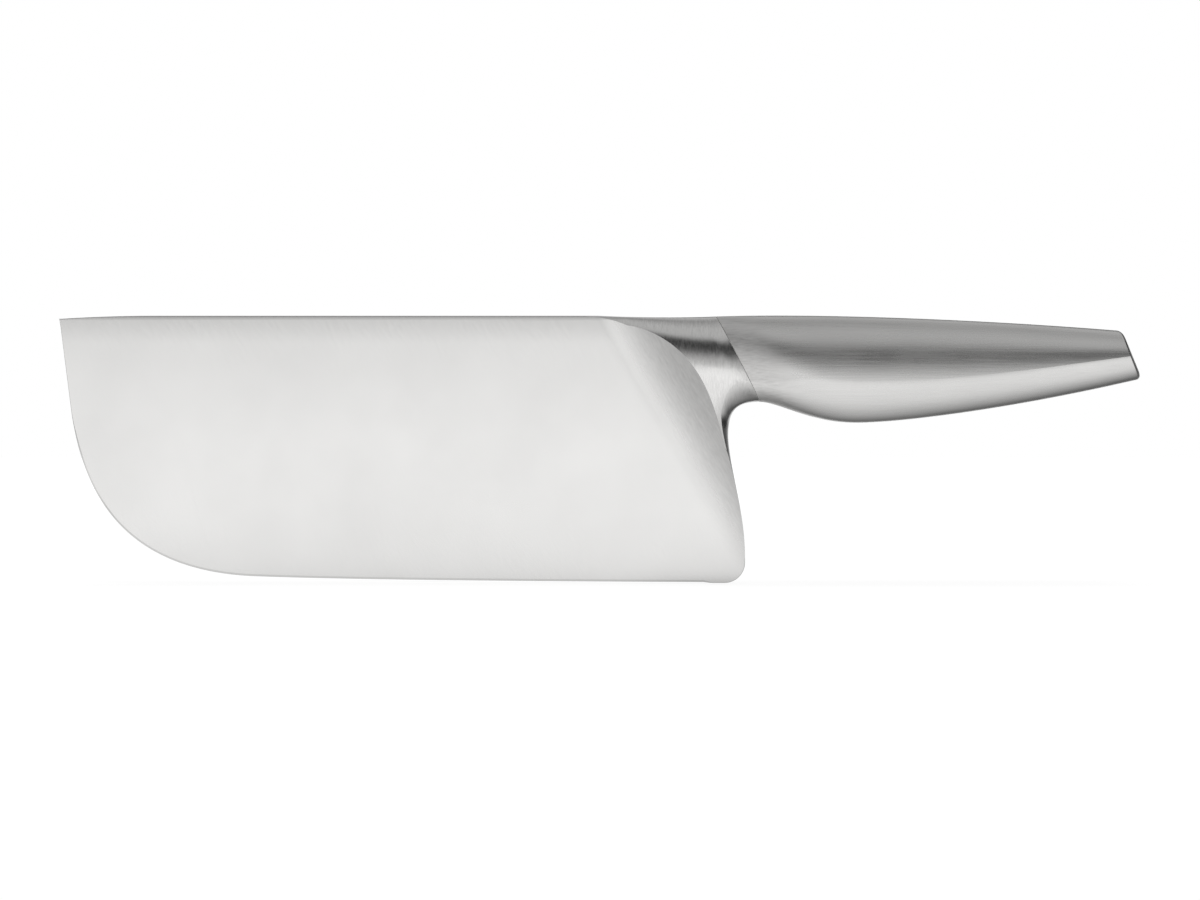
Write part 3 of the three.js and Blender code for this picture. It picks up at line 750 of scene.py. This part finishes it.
def make_piece(name, patches, materials, sides):
    """One mesh from half patches, on the side y >= 0 (1), its mirror (-1) or both: corners that
    fall together are joined, faces without area are left out, and every corner keeps the normal
    of its own surface."""
    places, normals, finishes = [], [], []
    for grid, grid_normal, finish, turned in patches:
        for side in sides:
            flip = [1, side, 1]
            places.append(corners(grid * flip, turned != (side < 0)))
            normals.append(corners(grid_normal * flip, turned != (side < 0)))
            finishes.append(np.repeat(finish, grid.shape[1] - 1))
    places, normals, finishes = map(np.concatenate, (places, normals, finishes))
    flat = np.round(places.reshape(-1, 3), JOIN_DIGITS) + 0.0
    points, index = np.unique(flat, axis=0, return_inverse=True)
    index = index.reshape(-1, 4)
    kept = index != np.roll(index, -1, axis=1)
    folded = (index[:, 0] == index[:, 2]) | (index[:, 1] == index[:, 3])
    whole = (kept.sum(1) > 2) & ~folded
    kept = kept[whole]
    loops = index[whole][kept]
    starts = np.concatenate([[0], np.cumsum(kept.sum(1))[:-1]])
    mesh = bpy.data.meshes.new(name)
    mesh.vertices.add(len(points))
    mesh.vertices.foreach_set("co", ((points + [HEEL_X, 0, 0]) * MM).ravel())
    mesh.loops.add(len(loops))
    mesh.loops.foreach_set("vertex_index", loops.astype(np.int32))
    mesh.polygons.add(len(starts))
    mesh.polygons.foreach_set("loop_start", starts.astype(np.int32))
    mesh.polygons.foreach_set("material_index", finishes[whole].astype(np.int32))
    mesh.polygons.foreach_set("use_smooth", np.ones(len(starts), bool))
    mesh.update(calc_edges=True)
    mesh.normals_split_custom_set(normals[whole][kept].tolist())
    for material in materials:
        mesh.materials.append(material)
    piece = bpy.data.objects.new(name, mesh)
    bpy.context.scene.collection.objects.link(piece)
    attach(piece, "root")
    return piece


# Finishes


def add_node(tree, kind, **settings):
    """A new node of a kind, with its settings."""
    made = tree.nodes.new(kind)
    for name, value in settings.items():
        setattr(made, name, value)
    return made


def feed(tree, value, socket):
    """Set a socket to a number or a tuple, or link another node's output to it."""
    if isinstance(value, bpy.types.NodeSocket):
        tree.links.new(value, socket)
    else:
        socket.default_value = value


def add_math(tree, operation, *values):
    """Output of a Math node whose inputs are numbers or other outputs."""
    made = add_node(tree, "ShaderNodeMath", operation=operation)
    for value, socket in zip(values, made.inputs):
        feed(tree, value, socket)
    return made.outputs[0]


def add_range(tree, value, start, end, low, high, kind="SMOOTHSTEP"):
    """Output that goes from low to high as the value goes from start to end."""
    made = add_node(tree, "ShaderNodeMapRange", interpolation_type=kind)
    names = "Value", "From Min", "From Max", "To Min", "To Max"
    for name, given in zip(names, (value, start, end, low, high)):
        feed(tree, given, made.inputs[name])
    return made.outputs["Result"]


def add_blend(tree, share, first, second):
    """Output colour that goes from the first to the second colour with the share."""
    made = add_node(tree, "ShaderNodeMix", data_type="RGBA")
    feed(tree, share, made.inputs["Factor"])
    colours = [socket for socket in made.inputs if socket.type == "RGBA"]
    for value, socket in zip((first, second), colours):
        feed(tree, value, socket)
    return [socket for socket in made.outputs if socket.type == "RGBA"][0]


def add_vector_math(tree, operation, *vectors):
    """Outputs of a Vector Math node whose inputs are vectors or other outputs."""
    made = add_node(tree, "ShaderNodeVectorMath", operation=operation)
    for value, socket in zip(vectors, made.inputs):
        feed(tree, value, socket)
    return made.outputs


def split(tree, vector):
    """Outputs with a vector's three parts."""
    made = add_node(tree, "ShaderNodeSeparateXYZ")
    feed(tree, vector, made.inputs[0])
    return made.outputs


def add_noise(tree, vector, **settings):
    """Output of a Noise Texture, with its inputs set by name."""
    made = add_node(tree, "ShaderNodeTexNoise")
    feed(tree, vector, made.inputs["Vector"])
    for name, value in settings.items():
        feed(tree, value, made.inputs[name])
    return made.outputs["Fac"]


def object_place(tree):
    """Output with the Object coordinates."""
    return add_node(tree, "ShaderNodeTexCoord").outputs["Object"]


def new_group(name, inputs, outputs):
    """An empty node group with named sockets, with its inputs and outputs as seen from inside."""
    tree = bpy.data.node_groups.new(name, "ShaderNodeTree")
    for side, sockets in (("INPUT", inputs), ("OUTPUT", outputs)):
        for socket, kind in sockets.items():
            tree.interface.new_socket(socket, in_out=side, socket_type=kind)
    given = add_node(tree, "NodeGroupInput").outputs
    result = add_node(tree, "NodeGroupOutput").inputs
    return tree, given, result


def place_group(tree, group, **values):
    """Outputs of a group placed in a tree, with its inputs set or linked by name."""
    placed = add_node(tree, "ShaderNodeGroup", node_tree=group)
    for name, value in values.items():
        feed(tree, value, placed.inputs[name])
    return placed.outputs


# Kinds of sockets
NUMBER = "NodeSocketFloat"
VECTOR = "NodeSocketVector"

# Noise of the brushing and of the polish, and the range of the two together
GRAIN_DETAIL = 4
GRAIN_ROUGHNESS = 0.65
DRIFT_SCALE = 38
DRIFT_DETAIL = 3
GRAIN_SUM = (0.6, 1.4)

BLACK = (0, 0, 0, 1)
IN_PLANE = (1, 0, 1)


def steel_grain_group():
    """Brushed grain on Object coordinates: Lines is noise stretched along the brushing, Drift is
    broad and uneven polish."""
    inputs = {"Stretch": VECTOR, "Turn": VECTOR}
    outputs = {"Lines": NUMBER, "Drift": NUMBER}
    tree, given, result = new_group("steel_grain", inputs, outputs)
    place = object_place(tree)
    turned = add_node(tree, "ShaderNodeMapping", vector_type="POINT")
    feed(tree, place, turned.inputs["Vector"])
    feed(tree, given["Turn"], turned.inputs["Rotation"])
    stretched = add_vector_math(tree, "MULTIPLY", turned.outputs["Vector"], given["Stretch"])
    settings = {"Scale": 1, "Detail": GRAIN_DETAIL, "Roughness": GRAIN_ROUGHNESS}
    feed(tree, add_noise(tree, stretched["Vector"], **settings), result["Lines"])
    drift = add_noise(tree, place, Scale=DRIFT_SCALE, Detail=DRIFT_DETAIL)
    feed(tree, drift, result["Drift"])
    return tree


def coarse_and_shade_mask(name, measure):
    """Mask of a coarser part of a finish, which the finish may also paint darker as painted shade:
    it goes from 0 to 1 as a measure of the place in the XZ plane goes from Start to End, either the
    DOT_PRODUCT with Vector or the DISTANCE from it."""
    inputs = {"Vector": VECTOR, "Start": NUMBER, "End": NUMBER}
    tree, given, result = new_group(name, inputs, {"Mask": NUMBER})
    flat = add_vector_math(tree, "MULTIPLY", object_place(tree), IN_PLANE)
    measured = add_vector_math(tree, measure, flat["Vector"], given["Vector"])
    mask = add_range(tree, measured["Value"], given["Start"], given["End"], 0, 1)
    feed(tree, mask, result["Mask"])
    return tree


def streaks(tree, lines, colour, share):
    """Output colour that the lines make darker and lighter by up to a share."""
    dark, light = ((*[level * c for c in colour], 1) for level in (1 - share, 1 + share))
    return add_blend(tree, lines, dark, light)


def brushed_steel(
    name, colour, roughness, spread, stretch, turn=0.0, streak=0.06, depth=0.0, blur=0.0,
    coarse_and_shade=None, gain=0.0, painted_dimming=1.0, scratches=1,
):
    """Brushed steel: the grain's lines vary roughness and colour and stand up by depth metres, its
    drift varies the polish, and blur draws highlights out across the brushing. Where the mask of
    the coarser part is 1, roughness grows by the gain, the base colour is painted darker, down to
    the given share, as painted shade, and streaks are that many times as strong."""
    material = bpy.data.materials.new(name)
    material.use_nodes = True
    tree = material.node_tree
    shader = tree.nodes["Principled BSDF"]
    shader.inputs["Metallic"].default_value = 1
    shader.inputs["Anisotropic"].default_value = blur
    grain = place_group(tree, steel_grain, Stretch=stretch, Turn=(0, turn, 0))
    lines = grain["Lines"]
    both = add_math(tree, "ADD", lines, grain["Drift"])
    rough = add_range(tree, both, *GRAIN_SUM, roughness - spread, roughness + spread, "LINEAR")
    tint = streaks(tree, lines, colour, streak)
    if coarse_and_shade:
        group, values = coarse_and_shade
        mask = place_group(tree, group, **values)["Mask"]
        rough = add_math(tree, "ADD", rough, add_math(tree, "MULTIPLY", mask, gain))
        scratched = streaks(tree, lines, colour, scratches * streak)
        # Painted shade: where the mask is 1 the base colour is made darker, standing in for darker
        # reflections
        dim = add_range(tree, mask, 0, 1, 1, painted_dimming, "LINEAR")
        tint = add_blend(tree, dim, BLACK, add_blend(tree, mask, tint, scratched))
    feed(tree, rough, shader.inputs["Roughness"])
    feed(tree, tint, shader.inputs["Base Color"])
    if depth:
        bump = add_node(tree, "ShaderNodeBump")
        bump.inputs["Strength"].default_value = 1
        bump.inputs["Distance"].default_value = depth
        feed(tree, lines, bump.inputs["Height"])
        feed(tree, bump.outputs["Normal"], shader.inputs["Normal"])
    if blur:
        round_handle = add_node(tree, "ShaderNodeTangent", direction_type="RADIAL", axis="X")
        feed(tree, round_handle.outputs["Tangent"], shader.inputs["Tangent"])
    return material


# Coarser parts of the finishes from near to far, the plunge's and the finger notch's also painted
# darker as painted shade, and the shift of the finger notch's centre from the place below the seam
# at the notch's deepest level, in millimetres
PLUNGE_COARSE_AND_SHADE = (-3, 14)
WELD_COARSE = (-14, -3)
NOTCH_COARSE_AND_SHADE = (18.5, 12)
NOTCH_SHIFT = point(2, 1)

steel_grain = steel_grain_group()
coarse_and_shaded_end = coarse_and_shade_mask("coarse_and_shaded_end", "DOT_PRODUCT")
shaded_coarse_hollow = coarse_and_shade_mask("shaded_coarse_hollow", "DISTANCE")


def beyond(start, direction, near, far):
    """A coarser end, painted darker as painted shade where the finish asks for it: from near to far
    past a point of the outline in a direction.
    """
    origin = (start + point(HEEL_X, 0)) @ direction
    vector = (direction[0], 0, direction[1])
    return coarse_and_shaded_end, {"Vector": vector, "Start": (origin + near) * MM, "End": (origin + far) * MM}


def round_about(centre, near, far):
    """A coarser hollow that is also painted darker as painted shade: a mask from near to far away
    from a point of the outline.
    """
    vector = ((centre[0] + HEEL_X) * MM, 0, centre[1] * MM)
    return shaded_coarse_hollow, {"Vector": vector, "Start": near * MM, "End": far * MM}


def towards_seam():
    """Direction in XZ that is square to the seam and points along the handle to the blade."""
    seam_line = seam_top - seam_foot
    return point(-seam_line[1], seam_line[0]) / np.linalg.norm(seam_line)


# The plunge's hollow is a coarser grind and is painted darker, to 0.7 of its colour: painted shade
# where the hollow's reflections go dark
ground_satin = brushed_steel(
    "ground_satin",
    (0.87, 0.865, 0.855),
    roughness=0.18,
    spread=0.04,
    stretch=(300, 300, 1700),
    turn=-math.atan2(BLADE_HEIGHT, BOLSTER_REACH + PLUNGE_FOOT),
    coarse_and_shade=beyond(spine_start, plunge_across, *PLUNGE_COARSE_AND_SHADE),
    gain=0.3,
    painted_dimming=0.7,
    scratches=4,
)
# The finger notch's hollow is slightly rougher and painted darker, to 0.65 of its colour: painted
# shade in the hollow
bolster_satin = brushed_steel(
    "bolster_satin",
    (0.8, 0.795, 0.785),
    roughness=0.17,
    spread=0.08,
    stretch=(2200, 500, 500),
    streak=0.2,
    depth=0.000008,
    coarse_and_shade=round_about(point(seam_foot[0], notch_deep[1]) + NOTCH_SHIFT, *NOTCH_COARSE_AND_SHADE),
    gain=0.05,
    painted_dimming=0.65,
)
handle_satin = brushed_steel(
    "handle_satin",
    (0.78, 0.775, 0.765),
    roughness=0.27,
    spread=0.05,
    stretch=(45, 2000, 2000),
    streak=0.1,
    depth=0.000012,
    blur=0.5,
    coarse_and_shade=beyond(seam_foot, towards_seam(), *WELD_COARSE),
    gain=0.12,
    scratches=3,
)
cap_satin = brushed_steel(
    "cap_satin", (0.75, 0.745, 0.735), roughness=0.3, spread=0.05, stretch=(600, 600, 600)
)
weight_steel = brushed_steel(
    "weight_steel", (0.5, 0.49, 0.48), roughness=0.5, spread=0.1, stretch=(1200, 60, 60)
)
pin_steel = brushed_steel(
    "pin_steel", (0.6, 0.595, 0.585), roughness=0.35, spread=0.08, stretch=(60, 1200, 60)
)


# Pieces

forging = make_piece("forged_blade_skin", forged_patches(), [ground_satin, bolster_satin], (1, -1))
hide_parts("forged_blade")
left = make_piece("handle_shell_left_skin", shell_patches(), [handle_satin], (1,))
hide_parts("handle_shell_left")
right = make_piece("handle_shell_right_skin", shell_patches(), [handle_satin], (-1,))
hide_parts("handle_shell_right")
cap = make_piece("butt_cap_skin", cap_patches(), [cap_satin], (1, -1))
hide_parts("butt_cap")
for node_name, finish in (("balance_weight", weight_steel), ("weight_pin", pin_steel)):
    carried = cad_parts[node_name]
    carried.data.materials.clear()
    carried.data.materials.append(finish)


# Floor, light and camera

# The photograph's size and the place of the heel's back and foot in pixels, and its scale in
# millimetres per pixel
PHOTO_WIDTH = 1200
PHOTO_HEIGHT = 900
HEEL_PIXEL = (745, 583)
PHOTO_SCALE = 0.29197

# Places in metres, and light where 1 is white
CAMERA_DISTANCE = 0.8
CAMERA_REACH = 60
SENSOR_WIDTH = 36
LAMP_HEIGHT = 1.4
LAMP_SIZE = 0.9
LAMP_POWER = 12
FLOOR_SIZE = 24.0
FLOOR_LEVEL = -0.0001
FLOOR_GREY = (0.8, 0.8, 0.8, 1)
FLOOR_GLOW = 0.8
WHITE_REACH = (0.3, 2)
WHITE_LIGHT = (1.1, 1.35)
PALE = 1.06
BLADE_SHADE_REACH = 0.8
BLADE_SHADE_POWER = 0.08
HANDLE_SHADE_REACH = (0, 0.036)
FRONT_SHADE_REACH = (0.075, -0.095)
FRONT_SHADE = 0.06
BACK_SHADE_REACH = (0.055, 0.12)
BACK_SHADE = 0.14
BACK_WIDENING_START = 0.06
BACK_WIDENING = 0.6
SIDE_FADE_REACH = (0.2, 0.5)
SIDE_LIGHT = 0.2
SIDE_ANGLE = math.radians(20)
FRONT_ANGLE = math.radians(75)
BEHIND = 0.6

# The studio's light by degrees above the horizon, and where the ceiling's even light takes over
STUDIO_LIGHT = {
    0: 1.08, 2: 0.68, 6: 0.57, 12: 0.41, 20: 0.05, 31.5: 0.02, 39: 0.51, 58: 0.5, 90: 0.3
}
CEILING_START = (24, 33)
ZENITH = 90


def front_light_group():
    """Share of the light that comes from a direction: full in front, dim at the sides and most of
    the way round behind."""
    tree, given, result = new_group("front_light", {"Direction": VECTOR}, {"Share": NUMBER})
    x, y, _ = split(tree, given["Direction"])
    ahead = add_math(tree, "MULTIPLY", y, -1)
    behind = add_math(tree, "MULTIPLY", y, BEHIND)
    across = add_math(tree, "ABSOLUTE", x)
    turned = add_math(tree, "ARCTAN2", add_math(tree, "MAXIMUM", ahead, behind), across)
    share = add_range(tree, turned, SIDE_ANGLE, FRONT_ANGLE, SIDE_LIGHT, 1)
    feed(tree, share, result["Share"])
    return tree


front_light = front_light_group()


def mix_shaders(tree, share, first, second):
    """Output shader that goes from the first to the second with the share."""
    made = add_node(tree, "ShaderNodeMixShader")
    for value, socket in zip((share, first, second), made.inputs):
        feed(tree, value, socket)
    return made.outputs["Shader"]


def floor_material():
    """Pale floor: it glows white where the camera sees it, with a share of plain diffuse that keeps
    the shadow. Reflections show it softly shaded: towards the blade, by a low power of the share of
    the distance from it, and below and behind the handle, in a patch that widens to the butt; far
    to the sides it fades as the studio does."""
    material = bpy.data.materials.new("pale_floor")
    material.use_nodes = True
    tree = material.node_tree
    tree.nodes.clear()
    path = add_node(tree, "ShaderNodeLightPath").outputs
    place = object_place(tree)
    x, y, _ = split(tree, place)
    far = add_math(tree, "DIVIDE", add_math(tree, "ABSOLUTE", y), BLADE_SHADE_REACH)
    near = add_math(tree, "POWER", add_math(tree, "MINIMUM", far, 1), BLADE_SHADE_POWER)
    blade_shade = add_math(tree, "MULTIPLY", near, PALE)
    front_shade = add_range(tree, y, *FRONT_SHADE_REACH, FRONT_SHADE, PALE)
    along = add_math(tree, "MAXIMUM", add_math(tree, "SUBTRACT", x, BACK_WIDENING_START), 0)
    back = add_math(tree, "SUBTRACT", y, add_math(tree, "MULTIPLY", along, BACK_WIDENING))
    back_shade = add_range(tree, back, *BACK_SHADE_REACH, BACK_SHADE, PALE)
    handle_shade = add_math(tree, "MAXIMUM", front_shade, back_shade)
    handle_shade = add_math(tree, "MINIMUM", handle_shade, blade_shade)
    shade = add_range(tree, x, *HANDLE_SHADE_REACH, blade_shade, handle_shade)
    sideways = add_math(tree, "ABSOLUTE", x)
    share = place_group(tree, front_light, Direction=place)["Share"]
    fade = add_range(tree, sideways, *SIDE_FADE_REACH, 1, share)
    shade = add_math(tree, "MULTIPLY", shade, fade)
    distance = add_vector_math(tree, "LENGTH", place)["Value"]
    white = add_range(tree, distance, *WHITE_REACH, *WHITE_LIGHT)
    strength = add_range(tree, path["Is Camera Ray"], 0, 1, shade, white)
    glow = add_node(tree, "ShaderNodeEmission")
    feed(tree, strength, glow.inputs["Strength"])
    plain = add_node(tree, "ShaderNodeBsdfDiffuse")
    plain.inputs["Color"].default_value = FLOOR_GREY
    mirrored = add_math(tree, "MAXIMUM", path["Is Glossy Ray"], path["Is Transmission Ray"])
    direct = add_math(tree, "MULTIPLY", path["Is Camera Ray"], FLOOR_GLOW)
    glowing = add_math(tree, "MAXIMUM", direct, mirrored)
    both = mix_shaders(tree, glowing, plain.outputs["BSDF"], glow.outputs["Emission"])
    output = add_node(tree, "ShaderNodeOutputMaterial")
    feed(tree, both, output.inputs["Surface"])
    return material


def make_floor():
    """Square floor just below the knife."""
    half = FLOOR_SIZE / 2
    mesh = bpy.data.meshes.new("floor")
    square = [(x * half, y * half, FLOOR_LEVEL) for x, y in ((-1, -1), (1, -1), (1, 1), (-1, 1))]
    mesh.from_pydata(square, [], [(0, 1, 2, 3)])
    mesh.materials.append(floor_material())
    floor = bpy.data.objects.new("floor", mesh)
    bpy.context.scene.collection.objects.link(floor)


def make_world():
    """Soft studio: light by height above the horizon, with a pale horizon that fades to the sides,
    a dark gap and a grey ceiling; the camera sees white."""
    world = bpy.data.worlds.new("studio")
    bpy.context.scene.world = world
    world.use_nodes = True
    tree = world.node_tree
    tree.nodes.clear()
    direction = add_node(tree, "ShaderNodeTexCoord").outputs["Generated"]
    rise = add_math(tree, "ARCSINE", split(tree, direction)["Z"])
    height = add_math(tree, "MULTIPLY", rise, 2 / math.pi)
    ramp = add_node(tree, "ShaderNodeValToRGB")
    stops = ramp.color_ramp.elements
    while len(stops) < len(STUDIO_LIGHT):
        stops.new(0.5)
    for stop, angle in zip(stops, STUDIO_LIGHT):
        stop.position = angle / ZENITH
    for stop, light in zip(stops, STUDIO_LIGHT.values()):
        stop.color = (light, light, light, 1)
    feed(tree, height, ramp.inputs["Fac"])
    share = place_group(tree, front_light, Direction=direction)["Share"]
    low, high = (angle / ZENITH for angle in CEILING_START)
    strength = add_range(tree, height, low, high, share, 1)
    path = add_node(tree, "ShaderNodeLightPath")
    studio = add_node(tree, "ShaderNodeBackground")
    feed(tree, ramp.outputs["Color"], studio.inputs["Color"])
    feed(tree, strength, studio.inputs["Strength"])
    white = add_node(tree, "ShaderNodeBackground")
    white.inputs["Color"].default_value = (1, 1, 1, 1)
    shaders = studio.outputs["Background"], white.outputs["Background"]
    both = mix_shaders(tree, path.outputs["Is Camera Ray"], *shaders)
    output = add_node(tree, "ShaderNodeOutputWorld")
    feed(tree, both, output.inputs["Surface"])


def make_lamp():
    """Soft square lamp over the floor for the shadow; reflections don't show it."""
    data = bpy.data.lights.new("ceiling_lamp", "AREA")
    data.shape = "SQUARE"
    data.size = LAMP_SIZE
    data.energy = LAMP_POWER
    lamp = bpy.data.objects.new("ceiling_lamp", data)
    lamp.location = (0, 0, LAMP_HEIGHT)
    lamp.visible_camera = False
    lamp.visible_glossy = False
    bpy.context.scene.collection.objects.link(lamp)


def make_camera():
    """Level camera square to the blade, framed by the photograph's scale."""
    data = bpy.data.cameras.new("camera")
    data.sensor_fit = "HORIZONTAL"
    data.sensor_width = SENSOR_WIDTH
    data.lens = SENSOR_WIDTH * CAMERA_DISTANCE / (PHOTO_WIDTH * PHOTO_SCALE * MM)
    data.clip_end = CAMERA_REACH
    camera = bpy.data.objects.new("camera", data)
    aim_x = (PHOTO_WIDTH / 2 - HEEL_PIXEL[0]) * PHOTO_SCALE + HEEL_X
    aim_z = (HEEL_PIXEL[1] - PHOTO_HEIGHT / 2) * PHOTO_SCALE
    camera.location = (aim_x * MM, -CAMERA_DISTANCE, aim_z * MM)
    camera.rotation_euler = (math.pi / 2, 0, 0)
    bpy.context.scene.collection.objects.link(camera)
    bpy.context.scene.camera = camera


make_floor()
make_world()
make_lamp()
make_camera()
bpy.context.scene.view_settings.view_transform = "Standard"
